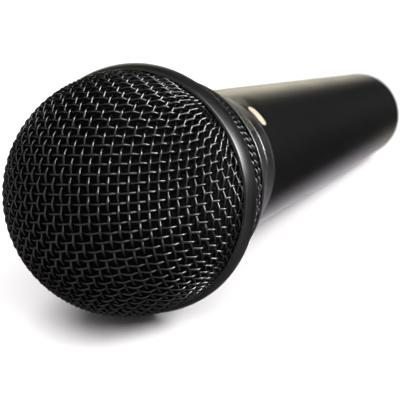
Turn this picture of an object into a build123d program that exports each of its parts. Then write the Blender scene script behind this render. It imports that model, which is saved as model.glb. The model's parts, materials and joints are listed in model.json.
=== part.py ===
from build123d import *
from math import cos, radians, sin, sqrt
import os

# Handheld dynamic vocal microphone, lying along Y: the grille points to -Y and the cable socket to +Y.
# The origin is the centre of the grille's widest ring. Every length is in millimetres.
# Profiles are listed as (y, radius) pairs and turned about the Y axis.

# ---- driving dimensions -------------------------------------------------------------------------
RUN = 0.02                      # gap left between two parts that rest on each other
WIRE = 0.5                      # diameter of the grille's woven wire
MESH = 2 * WIRE                 # thickness of the plain weave

BALL_R = 24.0                   # front dome, outside
BALL_Y = -4.65                  # centre of the front dome
FOAM_T = 3.5

RING_R = 25.0                   # widest ring, which joins the two meshes
RING_FRONT = -2.5
RING_BACK = 1.0
RING_ROUND = 0.4                # front edge
RING_BACK_ROUND = 0.3
RING_BORE = 23.85
RIB_Y = 0.75                    # the ring's inner rib, between the two mesh edges
RIB_R = 22.42

REAR_START_R = 23.8             # rear mesh, outside, at the ring
REAR_BULGE = 0.4                # how far the rear mesh bows out between its ends
BASE_Y = 12.95                  # base ring, which holds the rear mesh
BASE_R = 21.45
REAR_END_Y = BASE_Y + 1.0
REAR_END_R = 20.75

COLLAR_Y = 23.8                 # threaded collar
COLLAR_R = 17.9
COLLAR_END = 30.0
COLLAR_END_R = 16.8
SLEEVE_R = 17.0                 # the collar's sleeve inside the base ring

SHOULDER = 30.4                 # the handle's shoulder, behind the gasket
HANDLE_R = 16.75
TAIL = 143.0
TAIL_R = 12.6
TAIL_ROUND = 2.0

BOSS_START = 15.5               # the handle's threaded boss
BOSS_BORE = 13.0
PITCH = 1.25
TURNS = 4
THREAD_ROOT = 14.6
THREAD_CREST = 15.2
THREAD_GAP = 0.15               # radial clearance between the two threads
RIDGE_BASE = 0.62
RIDGE_TIP = 0.24

MARK_Y = 32.9                   # inlaid mark that shows the mic's address side
MARK_ANGLE = 42.0               # from +Z towards +X
MARK_WIDE = 5.4
MARK_LONG = 2.8
MARK_DEEP = 0.6

CAPSULE_R = 14.2
CHAMBER_R = 10.6
DOME_R = 7.3                    # diaphragm dome, which carries the voice coil
FILM = 0.12
FILM_Y = -3.0                   # where the film's inner face meets the coil

SOCKET_R = 8.1                  # cable socket, inside
SOCKET_SHELL_R = 9.6
SOCKET_START = 121.0
SOCKET_END = 142.6
INSULATOR_END = 128.4
PIN_R = 1.2                     # the free part of a contact
PIN_NECK_R = 1.0                # the part held in the insulator
PIN_CIRCLE_R = 3.81
PIN_ANGLES = (-90.0, 90.0, 180.0)   # from +Z towards +X: contacts 1, 2 and 3
PIN_TIP = 140.6
SCREW_Y = 131.0
SCREW_R = 1.45


# ---- helpers ------------------------------------------------------------------------------------
def turned(*points):
    """A solid turned about Y from a closed outline of (y, radius) points."""
    outline = Polyline(*[(r, y) for y, r in points], close=True)
    return revolve(make_face(outline), axis=Axis.Y)


def disc(y0, y1, r_out, r_in=0.0):
    """A plain disc, or a ring if r_in is given, between two stations on Y."""
    return turned((y0, r_in), (y0, r_out), (y1, r_out), (y1, r_in))


def dome(centre_y, r_out, r_in, y_cut):
    """A spherical shell that faces -Y and ends on the plane y = y_cut."""
    def pole(r):
        return (0.0, centre_y - r)

    def rim(r):
        return (sqrt(r**2 - (y_cut - centre_y) ** 2), y_cut)

    def middle(r):
        return (r * sin(radians(50)), centre_y - r * cos(radians(50)))

    outline = [
        ThreePointArc(pole(r_out), middle(r_out), rim(r_out)),
        Line(rim(r_out), rim(r_in)),
        ThreePointArc(rim(r_in), middle(r_in), pole(r_in)),
        Line(pole(r_in), pole(r_out)),
    ]
    return revolve(make_face(outline), axis=Axis.Y)


def bowed_band(start, end, bulge, thickness):
    """A band whose outside bows from start to end, both (y, radius), and whose wall is thickness."""
    middle = ((start[1] + end[1]) / 2 + bulge, (start[0] + end[0]) / 2)
    inner_middle = (middle[0] - thickness, middle[1])
    a, b = (start[1], start[0]), (end[1], end[0])
    inner_a, inner_b = (a[0] - thickness, a[1]), (b[0] - thickness, b[1])
    outline = [
        ThreePointArc(a, middle, b),
        Line(b, inner_b),
        ThreePointArc(inner_b, inner_middle, inner_a),
        Line(inner_a, a),
    ]
    return revolve(make_face(outline), axis=Axis.Y)


def around(shape, angle):
    """Turns a shape about Y, from +Z towards +X by angle degrees."""
    return Rotation(0, angle, 0) * shape


def along_y(y, x=0.0, z=0.0):
    """A place whose local Z points along +Y."""
    return Pos(x, y, z) * Rotation(-90, 0, 0)


def thread_ridge(wall_r, tip_r, y_start):
    """A right-handed helical ridge, from just inside the wall at wall_r to tip_r."""
    root_r = wall_r + (0.2 if tip_r < wall_r else -0.2)
    profile = Polyline(
        (root_r, -RIDGE_BASE / 2),
        (tip_r, -RIDGE_TIP / 2),
        (tip_r, RIDGE_TIP / 2),
        (root_r, RIDGE_BASE / 2),
        close=True,
    )
    path = Helix(pitch=PITCH, height=TURNS * PITCH, radius=wall_r)
    ridge = sweep(Plane.XZ * make_face(profile), path=path, is_frenet=True)
    return along_y(y_start) * ridge


def handle_radius(y):
    """The handle's outside radius, which tapers from the shoulder to the tail."""
    share = (y - SHOULDER) / (TAIL - SHOULDER)
    return HANDLE_R + share * (TAIL_R - HANDLE_R)


def pin_place(angle):
    """The (x, z) of a contact, at angle from +Z towards +X."""
    return PIN_CIRCLE_R * sin(radians(angle)), PIN_CIRCLE_R * cos(radians(angle))


# ---- grille head --------------------------------------------------------------------------------
def front_mesh():
    return dome(BALL_Y, BALL_R, BALL_R - MESH, RIB_Y - 0.7)


def rear_mesh():
    return bowed_band((RIB_Y + 0.1, REAR_START_R), (REAR_END_Y, REAR_END_R), REAR_BULGE, MESH)


def grille_ring():
    rib = (RIB_Y - 0.6, RIB_Y)
    ring = turned(
        (RING_FRONT, RING_BORE + 0.1),
        (RING_FRONT, RING_R),
        (RING_BACK, RING_R),
        (RING_BACK, RING_BORE + 0.1),
        (rib[1] + 0.1, RING_BORE + 0.1),
        (rib[1], RIB_R),
        (rib[0], RIB_R),
        (rib[0], RING_BORE),
    )
    for y, radius in ((RING_FRONT, RING_ROUND), (RING_BACK, RING_BACK_ROUND)):
        rim = [
            e for e in ring.edges()
            if e.geom_type == GeomType.CIRCLE and abs(e.radius - RING_R) < 0.01 and abs(e.center().Y - y) < 0.01
        ]
        ring = fillet(rim, radius)
    return ring


def mesh_clamp_ring():
    """The inner ring that traps both mesh edges against the outer ring."""
    return turned((-2.4, 21.7), (-2.4, 22.3), (0.0, 22.4), (0.8, 22.4), (3.2, 22.2), (3.2, 21.7))


def front_foam():
    outside = BALL_R - MESH - 0.1
    return dome(BALL_Y, outside, outside - FOAM_T, -2.6)


def rear_foam():
    start = (3.4, REAR_START_R - MESH - 0.45)
    end = (BASE_Y - 0.3, REAR_END_R - MESH)
    return bowed_band(start, end, REAR_BULGE / 2, 2.2)


def base_ring():
    """The cone behind the rear mesh. A groove in its front face holds the mesh edge."""
    lip_r = REAR_END_R + 0.42
    floor_r = REAR_END_R - MESH
    return turned(
        (BASE_Y, lip_r),
        (BASE_Y, BASE_R - 0.1),
        (BASE_Y + 0.35, BASE_R),
        (BASE_Y + 0.8, BASE_R - 0.15),
        (COLLAR_Y - 0.6, COLLAR_R + 0.2),
        (COLLAR_Y - 0.15, COLLAR_R + 0.12),
        (COLLAR_Y - 0.15, SLEEVE_R + RUN),
        (BASE_Y + 6.5, SLEEVE_R + RUN),
        (BASE_Y + 2.6, floor_r - 0.9),
        (BASE_Y, floor_r - 0.9),
        (BASE_Y, floor_r - 0.05),
        (REAR_END_Y + 0.05, floor_r - 0.05),
        (REAR_END_Y + 0.05, lip_r),
    )


def thread_collar():
    wall = THREAD_CREST + THREAD_GAP
    body = turned(
        (BOSS_START + 1.0, wall),
        (BOSS_START + 1.0, SLEEVE_R),
        (COLLAR_Y, SLEEVE_R),
        (COLLAR_Y, COLLAR_R - 0.15),
        (COLLAR_Y + 0.3, COLLAR_R),
        (COLLAR_Y + 0.7, COLLAR_R - 0.05),
        (COLLAR_END - 0.7, COLLAR_END_R + 0.15),
        (COLLAR_END - 0.25, COLLAR_END_R + 0.1),
        (COLLAR_END, COLLAR_END_R - 0.15),
        (COLLAR_END, wall),
    )
    tip = THREAD_ROOT + THREAD_GAP
    return body + thread_ridge(wall, tip, BOSS_START + 1.5 + 1.5 * PITCH)


def seat_gasket():
    """The thin slip ring between the collar and the handle's shoulder."""
    return disc(COLLAR_END + RUN, SHOULDER - RUN, COLLAR_END_R - 0.5, THREAD_CREST + THREAD_GAP)


# ---- handle -------------------------------------------------------------------------------------
def handle_blank():
    """The outside of the handle as one solid, without its bore or boss."""
    tail_start_r = handle_radius(TAIL - TAIL_ROUND)
    corner = ((tail_start_r - TAIL_ROUND * (1 - cos(radians(45)))), TAIL - TAIL_ROUND * (1 - sin(radians(45))))
    outline = [
        Line((0, SHOULDER), (HANDLE_R - 0.2, SHOULDER)),
        Line((HANDLE_R - 0.2, SHOULDER), (HANDLE_R, SHOULDER + 0.2)),
        Line((HANDLE_R, SHOULDER + 0.2), (tail_start_r, TAIL - TAIL_ROUND)),
        ThreePointArc((tail_start_r, TAIL - TAIL_ROUND), corner, (tail_start_r - TAIL_ROUND, TAIL)),
        Line((tail_start_r - TAIL_ROUND, TAIL), (0, TAIL)),
        Line((0, TAIL), (0, SHOULDER)),
    ]
    return revolve(make_face(outline), axis=Axis.Y)


def mark_prism(gap):
    """The rounded outline of the mark, standing out from the axis at its angle."""
    outline = SlotOverall(MARK_WIDE + 2 * gap, MARK_LONG + 2 * gap)
    prism = extrude(outline, amount=HANDLE_R + 5)
    return around(Pos(0, MARK_Y, 0) * prism, MARK_ANGLE)


def mark_floor():
    """What lies below the mark's pocket: a cone set in from the handle's surface."""
    start, end = MARK_Y - 5, MARK_Y + 5
    return turned(
        (start, 0), (start, handle_radius(start) - MARK_DEEP), (end, handle_radius(end) - MARK_DEEP), (end, 0)
    )


def screw_hole(radius, low, high):
    """A round bar across the handle at the lock screw, between two radii below the axis."""
    return Pos(0, SCREW_Y, -(low + high) / 2) * Cylinder(radius, high - low)


def handle():
    boss = disc(BOSS_START, SHOULDER + 1, THREAD_ROOT)
    seat = disc(BOSS_START + 9.0, SHOULDER + 1, THREAD_CREST)
    bore = turned(
        (BOSS_START - 1, 0),
        (BOSS_START - 1, BOSS_BORE),
        (34.5, BOSS_BORE),
        (34.5, 12.0),
        (37.0, 12.0),
        (39.0, 13.2),
        (SOCKET_START - 5, 10.6),
        (SOCKET_START - 3.4, 9.0),
        (SOCKET_START, 9.0),
        (SOCKET_START, SOCKET_SHELL_R + 2 * RUN),
        (TAIL + 1, SOCKET_SHELL_R + 2 * RUN),
        (TAIL + 1, 0),
    )
    ridge = thread_ridge(THREAD_ROOT, THREAD_CREST, BOSS_START + 1.5)
    pocket = mark_prism(RUN) - mark_floor()
    hole = screw_hole(SCREW_R + 0.05, SOCKET_SHELL_R - 1, TAIL_R + 2)
    return (handle_blank() + boss + seat + ridge) - bore - pocket - hole


def address_mark():
    return (mark_prism(0.0) & handle_blank()) - mark_floor()


def lock_screw():
    """The small headless screw that holds the cable socket in the handle."""
    tip = screw_hole(SCREW_R - 0.5, SOCKET_SHELL_R - 0.45, SOCKET_SHELL_R + 0.2)
    body = screw_hole(SCREW_R, SOCKET_SHELL_R + 0.1, TAIL_R - 0.1)
    slot = Pos(0, SCREW_Y, -TAIL_R) * Box(3 * SCREW_R, 0.5, 1.6)
    return body + tip - slot


# ---- capsule ------------------------------------------------------------------------------------
def capsule_basket():
    shell = turned(
        (-4.4, 13.0),
        (-4.4, CAPSULE_R),
        (12.8, CAPSULE_R),
        (12.8, CHAMBER_R + 0.05),
        (11.3, CHAMBER_R + 0.05),
        (11.3, 13.0),
        (4.5, 13.0),
        (4.5, 10.45),
        (3.0, 10.45),
        (3.0, 13.0),
    )
    port = Pos(0, 7.5, 13.6) * Cylinder(1.1, 3)
    ports = [around(port, 45 * i) for i in range(8)]
    vent = along_y(3.75, x=11.7) * Cylinder(0.6, 4)
    vents = [around(vent, 60 * i) for i in range(6)]
    return shell - ports - vents


def resonator_cap():
    """The perforated plate in front of the diaphragm."""
    cap = turned((-7.6, 0), (-7.6, 13.4), (-6.8, CAPSULE_R), (-4.45, CAPSULE_R), (-4.45, 13.0), (-6.4, 13.0), (-6.4, 0))
    inner_slot = along_y(-7, x=4.0) * Cylinder(1.0, 4)
    outer_slot = along_y(-7, x=9.0) * Cylinder(1.4, 4)
    holes = [around(inner_slot, 60 * i) for i in range(6)]
    holes += [around(outer_slot, 36 * i) for i in range(10)]
    return cap - holes


def dust_screen():
    return disc(-8.1, -7.6 - RUN, 12.6)


def diaphragm():
    """A domed film with one corrugation. Its rim stops short of the clamp ring, so it can travel."""
    foot_r, rise = DOME_R + 0.3, 2.0
    sphere_r = (foot_r**2 + rise**2) / (2 * rise)
    half_r = foot_r / 2
    half_rise = sphere_r - sqrt(sphere_r**2 - half_r**2)
    inner, outer = FILM_Y, FILM_Y - FILM

    def dome_arc(y):
        return [(0, y - rise), (half_r, y - rise + half_rise), (foot_r, y)]

    def surround_arc(y):
        return [(foot_r, y), (9.6, y - 0.7), (11.6, y)]

    outline = [
        ThreePointArc(*dome_arc(outer)),
        ThreePointArc(*surround_arc(outer)),
        Line((11.6, outer), (11.6, inner)),
        ThreePointArc(*reversed(surround_arc(inner))),
        ThreePointArc(*reversed(dome_arc(inner))),
        Line((0, inner - rise), (0, outer - rise)),
    ]
    return revolve(make_face(outline), axis=Axis.Y)


def voice_coil():
    return disc(FILM_Y + RUN, 1.2, DOME_R + 0.5, DOME_R)


def clamp_ring():
    return disc(-4.3, -2.2, 12.95, 12.0)


def damping_felt():
    return disc(-1.3, -0.8 - RUN, 10.3, 8.6)


def pole_piece():
    return disc(-0.8, 1.6, 6.9)


def magnet():
    return disc(1.6 + RUN, 8.0 - RUN, 6.5)


def yoke_cup():
    return turned((-0.8, 8.3), (-0.8, 10.4), (10.0, 10.4), (10.0, 0), (8.0, 0), (8.0, 8.9), (1.6, 8.9), (1.6, 8.3))


def rear_chamber():
    return turned((10.0 + RUN, 9.6), (10.0 + RUN, CHAMBER_R), (34.0, CHAMBER_R), (34.0, 0), (33.0, 0), (33.0, 9.6))


def shock_mount():
    """Rubber sleeve and flange that float the capsule in the handle's boss."""
    inner = CHAMBER_R + 0.05
    return turned(
        (12.8 + RUN, inner),
        (12.8 + RUN, CAPSULE_R),
        (BOSS_START - RUN, CAPSULE_R),
        (BOSS_START - RUN, BOSS_BORE - 0.1),
        (20.0, BOSS_BORE - 0.1),
        (21.0, BOSS_BORE - 0.9),
        (27.0, BOSS_BORE - 0.9),
        (28.0, BOSS_BORE - 0.1),
        (34.4, BOSS_BORE - 0.1),
        (34.4, inner),
    )


def terminal_board():
    return disc(34.0 + RUN, 35.2, 7.5)


def solder_lugs():
    """Two solder tabs on the terminal board."""
    tab = Pos(4.0, 35.2 + 0.45 + RUN, 0) * Box(2.4, 0.9, 1.6)
    return Compound([tab, around(tab, 180)])


# ---- wiring and cable socket --------------------------------------------------------------------
def capsule_lead(side, angle):
    """An insulated wire from one solder lug to the back of a contact."""
    x, z = pin_place(angle)
    route = Spline(
        (side * 4.0, 36.7, 0),
        (side * 3.0, 48.0, 0.5 * side),
        (side * 1.0, 62.0, 0.6),
        (side * 1.0, 88.0, 0.6),
        (x * 0.8, 104.0, z * 0.8),
        (x, 112.4, z),
        tangents=[(0, 1, 0), (0, 1, 0)],
    )
    section = Plane(origin=route @ 0, z_dir=route % 0) * Circle(0.55)
    return sweep(section, path=route)


def wire_damper():
    """A foam plug that keeps the two wires from rattling in the handle."""
    return disc(66.0, 84.0, 11.6, 2.6)


def socket_shell():
    shell = turned(
        (SOCKET_START + RUN, 7.0),
        (SOCKET_START + RUN, SOCKET_SHELL_R),
        (SOCKET_END, SOCKET_SHELL_R),
        (SOCKET_END, SOCKET_R + 0.5),
        (SOCKET_END - 0.5, SOCKET_R),
        (SOCKET_START + 1.5, SOCKET_R),
        (SOCKET_START + 1.5, 7.0),
    )
    latch_window = Pos(0, SOCKET_END - 4.0, SOCKET_R + 0.5) * Box(4.6, 2.6, 3.4)
    screw_dimple = screw_hole(SCREW_R, SOCKET_SHELL_R - 0.55, SOCKET_SHELL_R + 1)
    return shell - latch_window - screw_dimple


def socket_insulator():
    body = disc(SOCKET_START + 1.5 + RUN, INSULATOR_END, SOCKET_R - RUN)
    for angle in PIN_ANGLES:
        x, z = pin_place(angle)
        body -= along_y(SOCKET_START + 4, x, z) * Cylinder(PIN_NECK_R + RUN, 12)
    return body


def contact_pin(angle):
    """A round contact with a domed tip, a shoulder on the insulator and a cut-away solder cup at its back."""
    x, z = pin_place(angle)
    back = SOCKET_START - 8.0
    shoulder = INSULATOR_END + RUN
    tip_start = PIN_TIP - PIN_R
    half = radians(45)
    outline = [
        Line((0, back), (PIN_NECK_R, back)),
        Line((PIN_NECK_R, back), (PIN_NECK_R, shoulder)),
        Line((PIN_NECK_R, shoulder), (PIN_R, shoulder)),
        Line((PIN_R, shoulder), (PIN_R, tip_start)),
        ThreePointArc((PIN_R, tip_start), (PIN_R * cos(half), tip_start + PIN_R * sin(half)), (0, PIN_TIP)),
        Line((0, PIN_TIP), (0, back)),
    ]
    pin = revolve(make_face(outline), axis=Axis.Y)
    cup = along_y(back + 1.5) * Cylinder(0.7, 4)
    opening = Pos(0, back + 1.2, 1.0) * Box(3, 2.4, 1.6)
    return Pos(x, 0, z) * (pin - cup - opening)


# ---- output -------------------------------------------------------------------------------------
PARTS = {
    "front_mesh": front_mesh(),
    "rear_mesh": rear_mesh(),
    "grille_ring": grille_ring(),
    "mesh_clamp_ring": mesh_clamp_ring(),
    "front_foam": front_foam(),
    "rear_foam": rear_foam(),
    "base_ring": base_ring(),
    "thread_collar": thread_collar(),
    "seat_gasket": seat_gasket(),
    "handle": handle(),
    "address_mark": address_mark(),
    "lock_screw": lock_screw(),
    "capsule_basket": capsule_basket(),
    "resonator_cap": resonator_cap(),
    "dust_screen": dust_screen(),
    "diaphragm": diaphragm(),
    "voice_coil": voice_coil(),
    "diaphragm_clamp_ring": clamp_ring(),
    "damping_felt": damping_felt(),
    "pole_piece": pole_piece(),
    "magnet": magnet(),
    "yoke_cup": yoke_cup(),
    "rear_chamber": rear_chamber(),
    "shock_mount": shock_mount(),
    "terminal_board": terminal_board(),
    "solder_lugs": solder_lugs(),
    "lead_red": capsule_lead(1, PIN_ANGLES[1]),
    "lead_white": capsule_lead(-1, PIN_ANGLES[2]),
    "wire_damper": wire_damper(),
    "socket_shell": socket_shell(),
    "socket_insulator": socket_insulator(),
}
for number, angle in enumerate(PIN_ANGLES, start=1):
    PARTS[f"contact_pin_{number}"] = contact_pin(angle)

os.makedirs("parts", exist_ok=True)
for name, shape in PARTS.items():
    export_step(shape, f"parts/{name}.step")
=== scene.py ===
import json
import math

import bpy
import numpy as np
from mathutils import Matrix, Vector, noise


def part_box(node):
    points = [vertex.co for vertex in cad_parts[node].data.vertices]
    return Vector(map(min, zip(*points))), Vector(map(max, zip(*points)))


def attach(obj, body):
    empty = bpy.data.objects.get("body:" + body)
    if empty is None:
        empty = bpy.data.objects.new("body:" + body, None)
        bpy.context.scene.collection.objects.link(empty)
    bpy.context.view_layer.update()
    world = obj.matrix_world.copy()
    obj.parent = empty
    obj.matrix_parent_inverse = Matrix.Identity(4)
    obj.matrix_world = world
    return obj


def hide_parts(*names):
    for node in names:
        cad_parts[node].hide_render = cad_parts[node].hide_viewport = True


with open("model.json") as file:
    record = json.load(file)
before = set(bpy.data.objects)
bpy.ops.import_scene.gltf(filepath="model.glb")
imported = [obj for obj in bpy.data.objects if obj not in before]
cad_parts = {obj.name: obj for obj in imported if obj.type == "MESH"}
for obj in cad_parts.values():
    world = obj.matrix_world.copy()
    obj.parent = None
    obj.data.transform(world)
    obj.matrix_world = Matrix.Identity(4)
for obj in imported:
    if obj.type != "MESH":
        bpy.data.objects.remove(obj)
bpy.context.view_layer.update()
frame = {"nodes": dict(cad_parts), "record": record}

MM = 0.001
CORE_R = 0.02       # a solid that reaches its axis keeps a hair-thin hole there (mm)
LONG_FLANK = 1.0    # a turned flank longer than this gets a loop near each end (mm)
LOOP_MARGIN = 0.15  # how near (mm)
CREASE = math.radians(30)


# ---- mesh helpers -------------------------------------------------------------------------------
def add_piece(name, verts, faces, material, body, replaces):
    """Makes a smooth-shaded piece from vertices in millimetres, which rides on a CAD body."""
    mesh = bpy.data.meshes.new(name)
    mesh.from_pydata((np.asarray(verts) * MM).tolist(), [], faces)
    mesh.validate()
    mesh.shade_smooth()
    mesh.materials.append(material)
    piece = bpy.data.objects.new(name, mesh)
    bpy.context.scene.collection.objects.link(piece)
    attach(piece, body)
    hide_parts(*replaces)
    return piece


def unit(v):
    """Vectors scaled to length 1."""
    return v / np.maximum(np.linalg.norm(v, axis=-1, keepdims=True), 1e-12)


class Tubes:
    """Collects round wires, each a closed tube round a centre line, into one mesh."""

    def __init__(self, radius, sides):
        self.radius, self.sides = radius, sides
        self.verts, self.faces, self.count = [], [], 0

    def add(self, line, normal):
        """line is n points; normal is the sheet's outward direction at each of them."""
        tangent = unit(np.gradient(line, axis=0))
        across = unit(np.cross(tangent, normal))
        out = np.cross(across, tangent)
        turn = np.arange(self.sides) * 2 * np.pi / self.sides
        ring = np.cos(turn)[None, :, None] * out[:, None] + np.sin(turn)[None, :, None] * across[:, None]
        points = line[:, None] + self.radius * ring
        n, s, start = len(line), self.sides, self.count
        a = start + np.arange(n - 1)[:, None] * s + np.arange(s)
        b = start + np.arange(n - 1)[:, None] * s + (np.arange(s) + 1) % s
        quads = np.stack([a, b, b + s, a + s], -1).reshape(-1, 4)
        self.faces += quads.tolist()
        self.faces.append(list(range(start + s - 1, start - 1, -1)))
        self.faces.append(list(range(start + (n - 1) * s, start + n * s)))
        self.verts.append(points.reshape(-1, 3))
        self.count += n * s

    def piece(self, name, material, body, slot, replaces):
        """All the wires as one piece."""
        return add_piece(name, np.concatenate(self.verts), self.faces, material, body, replaces)


def resample(outline, step):
    """A closed (y, r) outline as points about step apart, with its corners kept."""
    points = []
    for a, b in zip(outline, outline[1:] + outline[:1]):
        a, b = np.array(a, float), np.array(b, float)
        n = max(1, round(np.linalg.norm(b - a) / step))
        points += [a + (b - a) * k / n for k in range(n)]
    return np.array(points)


def turned_area(loop):
    """Twice the signed area of a closed (y, r) loop: its sign tells which way round the loop goes."""
    y, r = np.asarray(loop).T
    return np.sum(y * np.roll(r, -1) - np.roll(y, -1) * r)


def turned_faces(loop, around):
    """Quads of a closed (y, r) loop repeated around the Y axis, facing out of the solid."""
    n = len(loop)
    faces = []
    for k in range(around):
        k2 = (k + 1) % around
        for j in range(n):
            j2 = (j + 1) % n
            faces.append((k * n + j, k * n + j2, k2 * n + j2, k2 * n + j))
    return faces if turned_area(loop) > 0 else [quad[::-1] for quad in faces]


def turned_soft(name, outline, step, around, relief, material, body, replaces):
    """A closed (y, r) outline of soft material turned about Y, its skin pushed inwards by relief(point)."""
    loop = resample(outline, step)
    along = unit(np.roll(loop, -1, 0) - np.roll(loop, 1, 0))
    inward = np.stack([-along[:, 1], along[:, 0]], -1) * np.sign(turned_area(loop))
    verts = []
    for k in range(around):
        angle = 2 * math.pi * k / around
        s, c = math.sin(angle), math.cos(angle)
        for (y, r), (iy, ir) in zip(loop, inward):
            depth = relief(Vector((r * s, y, r * c)))
            y2, r2 = y + iy * depth, max(r + ir * depth, CORE_R)
            verts.append((r2 * s, y2, r2 * c))
    return add_piece(name, verts, turned_faces(loop, around), material, body, replaces)


def turned_part(name, outline, around, material, body, replaces):
    """A closed (y, r) outline turned about Y, with loops near the ends of long flanks and creased bends."""
    loop = []
    for a, b in zip(outline, outline[1:] + outline[:1]):
        a, b = np.array(a, float), np.array(b, float)
        length = np.linalg.norm(b - a)
        near = (b - a) * LOOP_MARGIN / length
        loop += [a, a + near, b - near] if length > LONG_FLANK else [a]
    turn = np.arange(around) * 2 * np.pi / around
    y, r = np.array(loop).T
    verts = np.stack([r * np.sin(turn)[:, None], y + 0 * turn[:, None], r * np.cos(turn)[:, None]], -1)
    part = add_piece(name, verts.reshape(-1, 3), turned_faces(loop, around), material, body, replaces)
    part.data.set_sharp_from_angle(angle=CREASE)
    return part


# ---- materials ----------------------------------------------------------------------------------
class Nodes:
    """Short names for building a node tree."""

    def __init__(self, tree):
        self.tree = tree
        self.tree.nodes.clear()

    def add(self, kind, settings=None, **inputs):
        node = self.tree.nodes.new("ShaderNode" + kind)
        for key, value in (settings or {}).items():
            setattr(node, key, value)
        for key, value in inputs.items():
            self.feed(node.inputs[key.replace("_", " ")], value)
        return node

    def feed(self, socket, value):
        if isinstance(value, bpy.types.NodeSocket):
            self.tree.links.new(value, socket)
        else:
            socket.default_value = value

    def math(self, operation, a, b=0.0, c=0.0):
        node = self.add("Math", {"operation": operation})
        for socket, value in zip(node.inputs, (a, b, c)):
            self.feed(socket, value)
        return node.outputs[0]

    def remap(self, value, low, high, to_low, to_high, easing="LINEAR"):
        node = self.add("MapRange", {"interpolation_type": easing}, Value=value)
        for key, number in zip(("From Min", "From Max", "To Min", "To Max"), (low, high, to_low, to_high)):
            node.inputs[key].default_value = number
        return node.outputs["Result"]

    def mix(self, factor, a, b, blend="MIX"):
        node = self.add("Mix", {"data_type": "RGBA", "blend_type": blend})
        self.feed(node.inputs[0], factor)
        self.feed(node.inputs[6], a)
        self.feed(node.inputs[7], b)
        return node.outputs[2]

    def vector(self, operation, a, b=None):
        """A vector operation, whose result is a number."""
        node = self.add("VectorMath", {"operation": operation})
        self.feed(node.inputs[0], a)
        if b is not None:
            self.feed(node.inputs[1], b)
        return node.outputs["Value"]

    def blend(self, factor, a, b):
        """Two shaders blended by a factor."""
        node = self.add("MixShader", Fac=factor)
        self.feed(node.inputs[1], a)
        self.feed(node.inputs[2], b)
        return node.outputs[0]


class Surface(Nodes):
    """A material's node tree. Texture space is the part's own frame, in metres."""

    def __init__(self, name):
        self.material = bpy.data.materials.new(name)
        self.material.use_nodes = True
        super().__init__(self.material.node_tree)
        self.output = self.tree.nodes.new("ShaderNodeOutputMaterial")
        self.place = self.tree.nodes.new("ShaderNodeTexCoord").outputs["Object"]

    def noise(self, scale, detail=2.0, rough=0.5, where=None):
        node = self.add("TexNoise", Vector=where or self.place, Scale=scale, Detail=detail, Roughness=rough)
        return node.outputs["Fac"]

    def bump(self, height, depth, under=None):
        node = self.add("Bump", Height=height, Distance=depth, Strength=1.0)
        if under is not None:
            self.feed(node.inputs["Normal"], under)
        return node.outputs["Normal"]

    def edges(self, radius, gain):
        """1 on convex edges and 0 on open faces, from how far a rounded normal leans off the true one."""
        rounded = self.add("Bevel", {"samples": 6}, Radius=radius).outputs["Normal"]
        flat = self.add("NewGeometry").outputs["Normal"]
        return self.remap(self.vector("DOT_PRODUCT", rounded, flat), 1.0, 1.0 - gain, 0.0, 1.0)

    def finish(self, **inputs):
        shader = self.add("BsdfPrincipled", **inputs)
        self.tree.links.new(shader.outputs[0], self.output.inputs["Surface"])
        return self.material


def grey(value, warm=0.0):
    """A grey colour, warmed towards red by a share of its value."""
    return (value * (1 + warm), value, value * (1 - warm), 1.0)


def paint(name, base, rough, grain_scale, grain_depth, worn_and_lit, shine=0.5, wear_and_sheen_radius=0.00025):
    """Sprayed satin paint: orange-peel grain, slight blotches, and convex edges painted lighter and glossier,
    partly real wear of the paint and partly painted highlight.
    """
    n = Surface(name)
    blotch = n.noise(90.0, 4.0)
    grain = n.noise(grain_scale, 3.0, 0.6)
    patchy = n.remap(n.noise(420.0, 4.0), 0.35, 0.65, 0.5, 1.0)
    # Painted highlight and wear: convex edges, in random patches, are painted towards a lighter colour and
    # made a little glossier, partly for real wear and partly to stand in for light caught on the edges.
    rub_and_sheen = n.math("MULTIPLY", n.edges(wear_and_sheen_radius, 0.12), patchy)
    colour = n.mix(n.remap(blotch, 0.3, 0.7, 0.0, 1.0), grey(base * 0.8), grey(base * 1.2))
    colour = n.mix(rub_and_sheen, colour, worn_and_lit)
    roughness = n.remap(blotch, 0.3, 0.7, rough - 0.015, rough + 0.015)
    roughness = n.math("ADD", roughness, n.math("MULTIPLY", rub_and_sheen, -0.08))
    return n.finish(
        Base_Color=colour, Roughness=roughness, Specular_IOR_Level=shine, Normal=n.bump(grain, grain_depth)
    )


def wire_lacquer():
    """Lacquer on drawn wire, its tone and gloss varying in small random patches."""
    n = Surface("wire_lacquer")
    patch = n.noise(260.0, 3.0)
    colour = n.mix(n.remap(patch, 0.35, 0.65, 0.0, 1.0), grey(0.0015), grey(0.004))
    roughness = n.remap(patch, 0.35, 0.65, 0.12, 0.17)
    skin = n.bump(n.noise(5200.0, 2.0), 0.000006)
    return n.finish(Base_Color=colour, Roughness=roughness, Specular_IOR_Level=0.5, Normal=skin)


def foam(name, base):
    """Open cell foam: a matt skin, painted darker in its pores as painted shade."""
    n = Surface(name)
    cells = n.add("TexVoronoi", Vector=n.place, Scale=1500.0).outputs["Distance"]
    # Painted shade: the pores are darkened, as light would barely reach into them.
    pore = n.remap(cells, 0.1, 0.6, 0.0, 1.0)
    colour = n.mix(pore, grey(base * 0.3), grey(base))
    skin = n.bump(cells, 0.0003, n.bump(n.noise(900.0), 0.0002))
    return n.finish(Base_Color=colour, Roughness=0.95, Specular_IOR_Level=0.1, Normal=skin)


def cloth(name, base, pitch):
    """Fine woven cloth: two crossed sets of threads."""
    n = Surface(name)
    waves = [
        n.add("TexWave", {"bands_direction": axis}, Vector=n.place, Scale=0.31 / pitch, Distortion=0.6)
        for axis in ("X", "Z")
    ]
    crossing = n.math("MULTIPLY", *(wave.outputs["Fac"] for wave in waves))
    # Painted shade: the cloth is darker away from the tops where its threads cross, in the gaps between them.
    colour = n.mix(crossing, grey(base * 0.4), grey(base, 0.03))
    return n.finish(Base_Color=colour, Roughness=0.85, Sheen_Weight=0.4, Normal=n.bump(crossing, pitch * 0.4))


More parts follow.
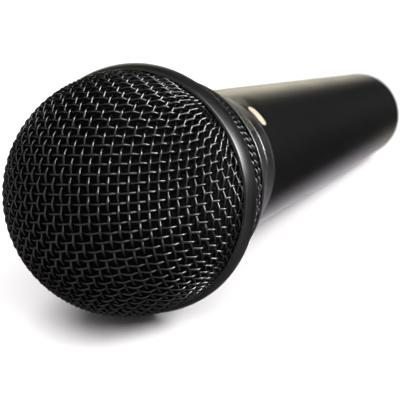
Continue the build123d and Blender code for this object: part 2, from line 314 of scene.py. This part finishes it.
def felt(name, base):
    """Pressed wool felt: fine tangled fibres."""
    n = Surface(name)
    fibre = n.noise(2600.0, 6.0, 0.75)
    colour = n.mix(fibre, grey(base * 0.6, 0.04), grey(base * 1.2, 0.04))
    return n.finish(Base_Color=colour, Roughness=0.95, Sheen_Weight=0.6, Normal=n.bump(fibre, 0.0002))


def turned_metal(name, colour, rough, lines=9000.0, stain=0.12):
    """Lathe-turned or drawn metal: fine rings about the Y axis and light stains."""
    n = Surface(name)
    y = n.add("SeparateXYZ", Vector=n.place).outputs["Y"]
    ring = n.add("TexNoise", {"noise_dimensions": "1D"}, W=y, Scale=lines, Detail=3.0).outputs["Fac"]
    marks = n.noise(150.0, 5.0)
    dull = tuple(c * (1 - 2.2 * stain) for c in colour) + (1.0,)
    tint = n.mix(n.remap(marks, 0.4, 0.7, 0.0, 1.0), tuple(colour) + (1.0,), dull)
    roughness = n.remap(n.math("ADD", ring, marks), 0.6, 1.4, rough - 0.06, rough + 0.1)
    return n.finish(Base_Color=tint, Metallic=1.0, Roughness=roughness, Normal=n.bump(ring, 0.000012))


def moulded(name, base, rough, warm=0.0, grain=1800.0, depth=0.00001, coat=0.0):
    """Moulded plastic or rubber: fine spark-eroded grain and a faint flow pattern."""
    n = Surface(name)
    flow = n.noise(60.0, 5.0, 0.6)
    colour = n.mix(n.remap(flow, 0.3, 0.7, 0.0, 1.0), grey(base * 0.85, warm), grey(base * 1.15, warm))
    roughness = n.remap(flow, 0.3, 0.7, rough - 0.05, rough + 0.05)
    return n.finish(
        Base_Color=colour, Roughness=roughness, Coat_Weight=coat, Normal=n.bump(n.noise(grain, 3.0), depth)
    )


def tinted(name, colour, rough, grain=1800.0, depth=0.00001, metal=0.0):
    """A coloured coating or inlay with slight wear in its tone."""
    n = Surface(name)
    tone = n.noise(700.0, 4.0)
    dark = tuple(c * 0.82 for c in colour) + (1.0,)
    shade = n.mix(n.remap(tone, 0.35, 0.65, 0.0, 1.0), dark, tuple(colour) + (1.0,))
    skin = n.bump(n.noise(grain, 3.0), depth)
    return n.finish(Base_Color=shade, Roughness=rough, Metallic=metal, Normal=skin)


def copper_winding():
    """Enamelled wire wound in close turns round the coil."""
    n = Surface("copper_winding")
    y = n.add("SeparateXYZ", Vector=n.place).outputs["Y"]
    turns = n.math("ABSOLUTE", n.math("SINE", n.math("MULTIPLY", y, math.pi / 0.00012)))
    # Painted shade: the copper is darker in the narrow grooves between turns.
    colour = n.mix(turns, (0.18, 0.05, 0.02, 1), (0.75, 0.32, 0.14, 1))
    return n.finish(Base_Color=colour, Metallic=0.9, Roughness=0.28, Normal=n.bump(turns, 0.00005))


def amber_film():
    """Clear polyester film, slightly uneven in tone and surface."""
    n = Surface("amber_film")
    tone = n.noise(500.0, 3.0)
    colour = n.mix(tone, (0.75, 0.66, 0.42, 1), (0.85, 0.8, 0.62, 1))
    skin = n.bump(n.noise(1200.0, 2.0), 0.00001)
    return n.finish(Base_Color=colour, Roughness=0.12, Transmission_Weight=0.6, IOR=1.5, Normal=skin)


def phenolic_board():
    """Brown laminated paper board, with fibres that run along Z."""
    n = Surface("phenolic_board")
    drawn_out = n.add("Mapping", Vector=n.place, Scale=(1.0, 1.0, 0.12)).outputs["Vector"]
    fibres = n.noise(1400.0, 5.0, 0.7, drawn_out)
    colour = n.mix(fibres, (0.16, 0.08, 0.03, 1), (0.42, 0.26, 0.1, 1))
    return n.finish(Base_Color=colour, Roughness=0.45, Normal=n.bump(fibres, 0.00002))


# Lighter colour of the paint's convex edges: partly real wear, partly painted highlight.
WORN_AND_LIT = (0.1, 0.098, 0.1, 1.0)
FINISHES = {
    "black_paint": paint("satin_black_handle", 0.003, 0.24, 2600.0, 0.000004, grey(0.05)),
    "black_collar": paint("satin_black_collar", 0.005, 0.28, 2600.0, 0.000003, WORN_AND_LIT),
    "dark_screw": turned_metal("blackened_screw", (0.1, 0.1, 0.1), 0.4),
    "plated_iron": turned_metal("zinc_plate", (0.62, 0.61, 0.57), 0.33),
    "magnet_grey": turned_metal("sintered_magnet", (0.3, 0.3, 0.31), 0.45, lines=2500.0),
    "brass_ring": turned_metal("turned_brass", (0.78, 0.6, 0.3), 0.28),
    "solder_tin": turned_metal("tinned_lugs", (0.75, 0.75, 0.73), 0.3, stain=0.05),
    "nickel_shell": turned_metal("satin_nickel", (0.66, 0.64, 0.6), 0.3),
    "pin_silver": turned_metal("silver_plate", (0.86, 0.84, 0.78), 0.18, stain=0.08),
    "capsule_plastic": moulded("capsule_plastic", 0.035, 0.5),
    "gasket_black": moulded("gasket_rubber", 0.008, 0.8, depth=0.00002),
    "rubber_mount": moulded("mount_rubber", 0.018, 0.75, depth=0.00002),
    "insulator_black": moulded("insulator_plastic", 0.02, 0.45, coat=0.2),
    "cream_ink": tinted("cream_inlay", (0.45, 0.38, 0.27), 0.5),
    "wire_red": tinted("red_insulation", (0.55, 0.03, 0.02), 0.45),
    "wire_white": tinted("white_insulation", (0.8, 0.8, 0.76), 0.45),
    "film": amber_film(),
    "copper_coil": copper_winding(),
    "board": phenolic_board(),
    "felt": felt("pressed_felt", 0.3),
    "silk": cloth("fine_silk", 0.12, 0.00025),
    "black_foam": foam("black_foam", 0.0012),
    "black_wire": wire_lacquer(),
}
SLOT_OF = {s["node"]: s["material_slot"] for s in frame["record"]["subparts"]}
for node_name, node in frame["nodes"].items():
    node.data.materials.clear()
    node.data.materials.append(FINISHES[SLOT_OF[node_name]])


# ---- woven grille -------------------------------------------------------------------------------
# The cloth of the grille is a plain weave, drawn from a flat sheet. A point of the flat sheet is (u, v), in
# wires from the sheet's centre. Drawing turns it into an arc length from the pole and a turn about Y: the
# cloth keeps its pitch along its two threads and shears between them, which the cos 4a and sin 4a terms hold.
PITCH = 1.748                    # of the weave at the pole
WIRE_R = 0.25
WIRE_SIDES = 8
CROWN = 0.25                     # how far a wire stands off the middle of the weave at a crossing
SPAN = 26.0                      # wires from the pole to about the rim, to scale the terms below
STRETCH = (0.27, 0.14)           # radians of arc with t^3 and t^5, where t is wires from the pole over SPAN
SHEAR = (0.34, 0.09)             # with t^4 and t^6
TWIST = (0.40, 0.11)             # with t^4 and t^6
CLOTH_TURN = math.radians(6.0)   # of the cloth about Y
SHIFT = (-0.082, 0.158)          # of the crossings from the pole, in wires
STEPS_PER_WIRE = 6
TRIM = 0.02                      # how finely a wire's ends are found, in wires
SHORTEST = 0.5                   # a wire shorter than this is left out, in wires

BALL_R = 23.5                    # middle of the weave
BALL_Y = -4.65                   # centre of the front dome
RIM_Y = 0.0                      # where the front and rear cloths meet, inside the ring
RIM_ARC = BALL_R * (math.pi / 2 + math.asin((RIM_Y - BALL_Y) / BALL_R))
REAR_START = (0.85, 23.3)        # (y, r) of the rear cloth at the ring
REAR_END = (13.9, 20.25)         # and in the base ring's groove
REAR_BOW = 0.4                   # how far it bulges between them
REAR_LENGTH = 13.4
REAR_ARC = RIM_ARC - REAR_LENGTH


def drawn(u, v, turn):
    """Arc length from the pole (mm) and turn from +X towards +Z (radians) of a point of the flat sheet."""
    t = np.hypot(u, v) / SPAN
    a = np.arctan2(v, u)
    stretch = STRETCH[0] * t**3 + STRETCH[1] * t**5
    shear = (SHEAR[0] * t**4 + SHEAR[1] * t**6) * np.cos(4 * a)
    twist = (TWIST[0] * t**4 + TWIST[1] * t**6) * np.sin(4 * a)
    return PITCH * SPAN * t + BALL_R * (stretch - shear), a + twist + turn


def on_ball(arc):
    """(y, r) and outward (y, r) direction on the front dome."""
    a = arc / BALL_R
    return (BALL_Y - BALL_R * np.cos(a), BALL_R * np.sin(a)), (-np.cos(a), np.sin(a))


def on_rear(arc):
    """The same on the bowed band behind the ring. The sheet's outer edge is at the ring."""
    along, rise = REAR_END[0] - REAR_START[0], REAR_END[1] - REAR_START[1]
    t = (RIM_ARC - arc) / REAR_LENGTH
    y = REAR_START[0] + along * t
    r = REAR_START[1] + rise * t + 4 * REAR_BOW * t * (1 - t)
    slope = (rise + 4 * REAR_BOW * (1 - 2 * t)) / along
    size = np.hypot(1, slope)
    return (y, r), (-slope / size, 1 / size)


def weave(name, surface, arc_low, arc_high):
    """Both sets of threads of one drawn sheet between two arc lengths, as two pieces."""
    reach = int(SPAN * 1.3)
    fine = np.arange(-reach, reach, TRIM)
    for kind, shift_across, shift_along, level in (("warp", *SHIFT, 0), ("weft", *SHIFT[::-1], 1)):
        tubes = Tubes(WIRE_R, WIRE_SIDES)

        def on_sheet(fixed, t):
            return (fixed + 0 * t, t) if kind == "warp" else (t, fixed + 0 * t)

        for i in range(-reach, reach + 1):
            fixed = i + shift_across
            u, v = on_sheet(fixed, fine)
            arc = np.where(np.hypot(u, v) < reach, drawn(u, v, 0.0)[0], np.inf)
            inside = (arc >= arc_low) & (arc <= arc_high)
            ends = np.flatnonzero(np.diff(np.concatenate([[0], inside.astype(int), [0]])))
            for a, b in zip(ends[::2], ends[1::2]):
                first, last = fine[a], fine[b - 1]
                if last - first < SHORTEST:
                    continue
                t = np.linspace(first, last, max(3, int((last - first) * STEPS_PER_WIRE)))
                arc, turn = drawn(*on_sheet(fixed, t), CLOTH_TURN)
                (y, r), (ny, nr) = surface(arc)
                c, s = np.cos(turn), np.sin(turn)
                normal = np.stack([nr * c, ny, nr * s], -1)
                lift = CROWN * np.cos(np.pi * (t - shift_along + i + level))
                tubes.add(np.stack([r * c, y, r * s], -1) + lift[:, None] * normal, normal)
        tubes.piece(f"{name}_{kind}", FINISHES["black_wire"], "grille", "black_wire", [name])


weave("front_mesh", on_ball, 0.0, RIM_ARC)
weave("rear_mesh", on_rear, REAR_ARC, RIM_ARC)


# ---- ring and cone ------------------------------------------------------------------------------
AROUND = 384                     # segments of the ring and the cone
RING_R = 25.0
RING_BACK = 1.0
BAND_START, BAND_END = -2.65, 0.7
FLAT_START = 0.3                 # the crown of the band falls away in front of this
CROWN_DROP = 15.4                # the fall is the distance squared over this (mm)
FRONT_ROUND = 0.28               # radius of the ring's front edge


def crowned_ring():
    """The ring round the ball: a band that falls towards the front, and a rib between the two cloths."""
    band = np.linspace(BAND_START, BAND_END, 18)
    crown = [(y, RING_R - max(0.0, FLAT_START - y) ** 2 / CROWN_DROP) for y in band]
    lean = math.atan(2 * (FLAT_START - BAND_START) / CROWN_DROP)
    centre_y = BAND_START + FRONT_ROUND * math.sin(lean)
    centre_r = crown[0][1] - FRONT_ROUND * math.cos(lean)
    front = [
        (centre_y - FRONT_ROUND * math.sin(a), centre_r + FRONT_ROUND * math.cos(a))
        for a in np.linspace(math.pi / 2, lean, 9)[:-1]
    ]
    back = [(0.86, 24.95), (0.96, 24.85), (RING_BACK, 24.7), (RING_BACK, 23.95)]
    rib = [(0.85, 23.95), (0.75, 22.42), (0.15, 22.42), (0.15, 23.85), (front[0][0], 23.95)]
    return front + crown + back + rib


def cone():
    """The cone behind the rear cloth: a round lip, a groove for the cloth and a socket for the collar."""
    lip = [(12.95, 21.3), (12.98, 21.37), (13.06, 21.42), (13.2, 21.45), (13.4, 21.42), (13.6, 21.35)]
    back = [(23.2, 18.12), (23.4, 18.08), (23.56, 18.02), (23.65, 17.9), (23.65, 17.02)]
    bore = [(19.45, 17.02), (15.55, 18.85), (12.95, 18.85)]
    groove = [(12.95, 19.7), (14.0, 19.7), (14.0, 21.17), (12.95, 21.17)]
    return lip + back + bore + groove


turned_part(
    "grille_ring_crowned", crowned_ring(), AROUND,
    paint("satin_black_ring", 0.004, 0.32, 3200.0, 0.000006, WORN_AND_LIT, 0.4),
    "grille", ["grille_ring"],
)
turned_part("base_cone", cone(), AROUND, FINISHES["black_collar"], "grille", ["base_ring"])


# ---- foam, felt and cloth -----------------------------------------------------------------------
FOAM_THICK = 3.3
FOAM_INSET = 0.05                # of the front foam's skin, inside its CAD solid
FOAM_RIM = -2.65                 # the front foam ends here, behind the ring's front


def pores(scale, depth):
    """Relief of open foam: cells that sink below the skin."""
    def relief(p):
        distance = noise.voronoi(p * scale)[0][0]
        return depth * max(0.0, 1.0 - 1.4 * distance)
    return relief


def fuzz(scale, depth):
    """Relief of felt: soft lumps."""
    def relief(p):
        return depth * (0.5 + 0.5 * noise.noise(p * scale))
    return relief


def threads(pitch, depth):
    """Relief of fine cloth across the X and Z directions."""
    def relief(p):
        return depth * (0.5 - 0.5 * math.sin(p.x * math.pi / pitch) * math.sin(p.z * math.pi / pitch))
    return relief


def ball_arc(radius, y_end, steps, reverse=False):
    """(y, r) points on a sphere about the dome's centre, from the pole to y_end."""
    last = math.acos((BALL_Y - y_end) / radius)
    angles = [last * k / steps for k in range(steps + 1)]
    points = [(BALL_Y - radius * math.cos(a), max(radius * math.sin(a), CORE_R)) for a in angles]
    return points[::-1] if reverse else points


def y_range(node):
    """The first and last y of a CAD node, in mm."""
    low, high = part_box(node)
    return low.y / MM, high.y / MM


def front_foam():
    """The liner of the front dome, a bowl of foam."""
    outer = BALL_Y - y_range("front_foam")[0] - FOAM_INSET
    bowl = ball_arc(outer, FOAM_RIM, 40) + ball_arc(outer - FOAM_THICK, FOAM_RIM, 30, True)
    turned_soft(
        "front_foam_liner", bowl, 0.7, 200, pores(1.6, 0.35), FINISHES["black_foam"], "grille",
        ["front_foam"],
    )


def rear_foam():
    """The liner of the rear cloth, a tapered sleeve of foam."""
    y0, y1 = y_range("rear_foam")
    bend = y0 + 4.6
    sleeve = [(y0, 20.2), (y0, 22.25), (bend, 21.2), (y1, 19.65), (y1, 17.6), (bend, 19.1)]
    turned_soft(
        "rear_foam_liner", sleeve, 0.7, 200, pores(1.6, 0.3), FINISHES["black_foam"], "grille",
        ["rear_foam"],
    )


def wire_damper():
    """The foam plug round the two wires in the handle."""
    y0, y1 = y_range("wire_damper")
    plug = [(y0, 2.7), (y0, 10.6), (y0 + 1.0, 11.5), (y1 - 1.0, 11.5), (y1, 10.6), (y1, 2.7)]
    turned_soft(
        "wire_damper_foam", plug, 0.9, 90, pores(1.1, 0.5), FINISHES["black_foam"], "handle",
        ["wire_damper"],
    )


def damping_felt():
    """The felt ring under the diaphragm."""
    y0, y1 = y_range("damping_felt")
    ring = [(y0, 8.65), (y0, 10.25), (y1, 10.25), (y1, 8.65)]
    turned_soft(
        "damping_felt_ring", ring, 0.12, 220, fuzz(5.0, 0.09), FINISHES["felt"], "handle",
        ["damping_felt"],
    )


def dust_screen():
    """The disc of fine cloth in front of the capsule."""
    y0, y1 = y_range("dust_screen")
    disc = [(y0, CORE_R), (y0, 12.55), (y1, 12.55), (y1, CORE_R)]
    turned_soft(
        "dust_screen_cloth", disc, 0.25, 260, threads(0.5, 0.06), FINISHES["silk"], "handle",
        ["dust_screen"],
    )


front_foam()
rear_foam()
wire_damper()
damping_felt()
dust_screen()


# ---- stage --------------------------------------------------------------------------------------
# Soft boxes seen in polished surfaces: azimuth and elevation (degrees, azimuth 0 is +X and 90 is +Y), the
# half angles where the glow is full and where it ends, and radiance.
SOFT_BOXES = [
    (16, 26, 5, 17, (52.0, 52.0, 52.4)),
    (0, 53, 7, 25, (14.0, 14.0, 14.0)),
    (-20, 27, 15, 60, (1.7, 1.7, 1.7)),
    (262, 20, 12, 48, (1.2, 1.2, 1.2)),
    (118, 6, 6, 24, (1.8, 1.7, 1.35)),
]
AMBIENT = 0.3                    # of the white room, for matt surfaces
# Soft lights for matt surfaces: name, azimuth, elevation, width and height (m), power (W).
AREA_LIGHTS = [
    ("key", -55, 40, 0.8, 0.4, 4.7),
    ("side", 32, 33, 0.5, 0.3, 6.8),
    ("fill", 200, 60, 0.5, 0.5, 3.7),
]
LIGHT_AIM = Vector((0, 0.02, 0))
LIGHT_AWAY = 0.7
# How bright polished surfaces see the floor in front, beside the axis and far behind, as painted light, and
# the share of it left under the ball as painted shade.
FLOOR_FRONT, FLOOR_BESIDE, FLOOR_BACK, FLOOR_UNDER = 0.75, 1.1, 0.8, 0.15
FLOOR_GAP = 0.00005              # below the lowest point of the microphone (m)
# The camera's place (m), its line of sight, its upward direction and what it is focused on (m).
CAMERA_PLACE = Vector((0.10627, -0.19889, 0.04587))
CAMERA_LOOK = Vector((-0.41365, 0.88678, -0.20619))
CAMERA_UP = Vector((-0.12160, 0.17063, 0.97780))
CAMERA_FOCUS = (0.01, -0.01, 0.0)


def lying_plane():
    """The upward direction and height (m) of the floor, which touches the ring and the tail."""
    ring = np.array([v.co for v in frame["nodes"]["grille_ring"].data.vertices])
    handle = np.array([v.co for v in frame["nodes"]["handle"].data.vertices])
    low = ring[ring[:, 2].argmin()]
    tail = handle[handle[:, 1] > 0.1]
    tilt = math.atan(np.min((tail[:, 2] - low[2]) / (tail[:, 1] - low[1])))
    up = Vector((0, -math.sin(tilt), math.cos(tilt)))
    return up, min(up.dot(Vector(p)) for p in ring)


def floor_material():
    """White paper, plain white further away. Reflections see a painted pattern of light on it instead: it
    glows for them, lilac in front and warm far behind, with painted shade under the ball.
    """
    n = Surface("floor_paper")
    place = n.add("NewGeometry").outputs["Position"]
    x, y, _ = n.add("SeparateXYZ", Vector=place).outputs

    paper = n.add("BsdfDiffuse", Color=n.mix(n.noise(30.0, 3.0), (0.93, 0.9, 0.92, 1), (0.95, 0.92, 0.94, 1)))
    white = n.add("Emission", Color=(1, 1, 1, 1), Strength=1.02)
    far = n.remap(n.vector("LENGTH", place), 0.28, 0.5, 0, 1)
    seen = n.blend(far, paper.outputs[0], white.outputs[0])

    # Painted reflection: for glossy rays the floor glows in front, beside the axis and far behind, and is
    # painted darker under the ball.
    ahead = n.math("SUBTRACT", y, n.math("MULTIPLY", x, 0.3))
    front = n.remap(ahead, -0.02, 0.03, FLOOR_FRONT, 0.0)
    beside = n.remap(n.math("ABSOLUTE", x), 0.004, 0.02, FLOOR_BESIDE, 0.0)
    shaded = n.remap(n.vector("DISTANCE", place, (0.0, -0.01, -0.025)), 0.02, 0.07, FLOOR_UNDER, 1.0)
    back = n.remap(n.vector("DISTANCE", place, (-0.22, 0.42, 0.02)), 0.05, 0.2, FLOOR_BACK, 0.0)
    strength = n.math("ADD", n.math("MULTIPLY", n.math("MAXIMUM", front, beside), shaded), back)
    tint = n.mix(n.math("GREATER_THAN", y, 0.15), (1, 0.93, 1, 1), (1, 0.95, 0.8, 1))
    mirrored = n.add("Emission", Color=tint, Strength=strength)

    glossy = n.add("LightPath").outputs["Is Glossy Ray"]
    n.tree.links.new(n.blend(glossy, seen, mirrored.outputs[0]), n.output.inputs["Surface"])
    return n.material


def make_floor():
    """A large sheet that touches the microphone's lowest points."""
    up, height = lying_plane()
    half = 4.0
    corners = [(-half, -half, 0), (half, -half, 0), (half, half, 0), (-half, half, 0)]
    mesh = bpy.data.meshes.new("floor")
    mesh.from_pydata(corners, [], [(0, 1, 2, 3)])
    mesh.materials.append(floor_material())
    floor = bpy.data.objects.new("floor", mesh)
    bpy.context.scene.collection.objects.link(floor)
    facing = up.to_track_quat("Z", "Y").to_matrix().to_4x4()
    floor.matrix_world = Matrix.Translation(up * (height - FLOOR_GAP)) @ facing


def direction(azimuth, elevation):
    """A unit vector from degrees: azimuth 0 is +X and 90 is +Y."""
    a, e = math.radians(azimuth), math.radians(elevation)
    return Vector((math.cos(e) * math.cos(a), math.cos(e) * math.sin(a), math.sin(e)))


def area_light(name, azimuth, elevation, wide, tall, power):
    """A soft light for matt surfaces only: polished ones see the soft boxes of the world instead."""
    data = bpy.data.lights.new(name, "AREA")
    data.shape = "RECTANGLE"
    data.size, data.size_y = wide, tall
    data.energy = power
    light = bpy.data.objects.new(name, data)
    bpy.context.scene.collection.objects.link(light)
    toward = direction(azimuth, elevation)
    light.location = LIGHT_AIM + LIGHT_AWAY * toward
    light.rotation_mode = "QUATERNION"
    light.rotation_quaternion = (LIGHT_AIM - light.location).to_track_quat("-Z", "Y")
    light.visible_camera = False
    light.visible_glossy = False


def make_world():
    """A white studio, where polished surfaces see only a few soft boxes in a dark room."""
    world = bpy.data.worlds.new("studio")
    bpy.context.scene.world = world
    world.use_nodes = True
    world.cycles.sampling_method = "NONE"
    n = Nodes(world.node_tree)
    toward = n.add("TexCoord").outputs["Generated"]
    room = (0.012, 0.012, 0.013, 1)
    for azimuth, elevation, full, edge, colour in SOFT_BOXES:
        off = n.math("ARCCOSINE", n.vector("DOT_PRODUCT", toward, direction(azimuth, elevation)))
        glow = n.remap(off, math.radians(full), math.radians(edge), 1, 0, "SMOOTHSTEP")
        room = n.mix(glow, room, colour + (1,), "ADD")
    path = n.add("LightPath").outputs
    gloss = n.add("Background", Color=room)
    brightness = n.mix(path["Is Camera Ray"], grey(AMBIENT), grey(1.0))
    soft = n.add("Background", Color=(1, 1, 1, 1), Strength=brightness)
    output = n.add("OutputWorld")
    shader = n.blend(path["Is Glossy Ray"], soft.outputs[0], gloss.outputs[0])
    n.tree.links.new(shader, output.inputs["Surface"])


def make_camera():
    """A long lens close to the axis, with a little blur towards the tail."""
    data = bpy.data.cameras.new("camera")
    data.sensor_width, data.lens = 36.0, 104.55
    data.clip_start, data.clip_end = 0.01, 20.0
    camera = bpy.data.objects.new("camera", data)
    bpy.context.scene.collection.objects.link(camera)
    back = -CAMERA_LOOK.normalized()
    right = CAMERA_UP.cross(back).normalized()
    turn = Matrix((right, back.cross(right), back)).transposed().to_4x4()
    camera.matrix_world = Matrix.Translation(CAMERA_PLACE) @ turn
    focus = bpy.data.objects.new("focus", None)
    bpy.context.scene.collection.objects.link(focus)
    focus.location = CAMERA_FOCUS
    data.dof.use_dof = True
    data.dof.focus_object = focus
    data.dof.aperture_fstop = 48.0
    bpy.context.scene.camera = camera


make_floor()
make_world()
make_camera()
for light in AREA_LIGHTS:
    area_light(*light)
bpy.context.scene.view_settings.view_transform = "Standard"
